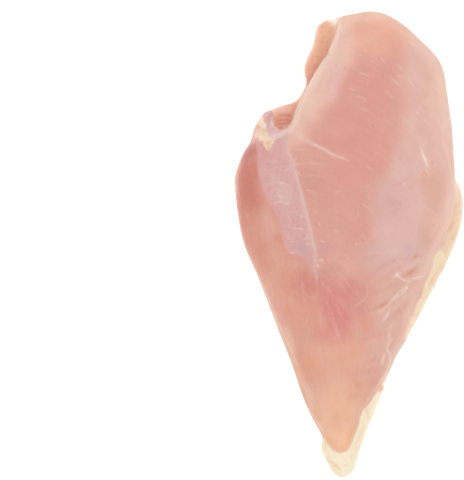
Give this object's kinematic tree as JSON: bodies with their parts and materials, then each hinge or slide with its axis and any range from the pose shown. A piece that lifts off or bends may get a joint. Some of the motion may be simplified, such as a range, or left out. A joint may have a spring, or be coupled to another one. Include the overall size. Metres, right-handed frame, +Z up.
{
  "type": "raw chicken breast",
  "caption": "Whole skinless boneless raw poultry breast fillet, rounded and wide at the shoulder end, tapering to a fat-tipped tail, lying flat on its cut side.",
  "frame": {"origin": "on the table under the middle of the fillet's bounding box", "axes": "+Y along the fillet towards the wide shoulder end, +X across it towards the keel side, +Z up from the cut side to the smooth side"},
  "size_m": [0.0932, 0.1901, 0.0312],
  "materials": {
    "flesh": "moist satin, translucent salmon pink flesh",
    "fat": "waxy satin, cream fat",
    "membrane": "wet gloss, pale translucent membrane and tendon"
  },
  "bodies": {
    "root": {"chicken_breast": "flesh"}
  },
  "joints": []
}
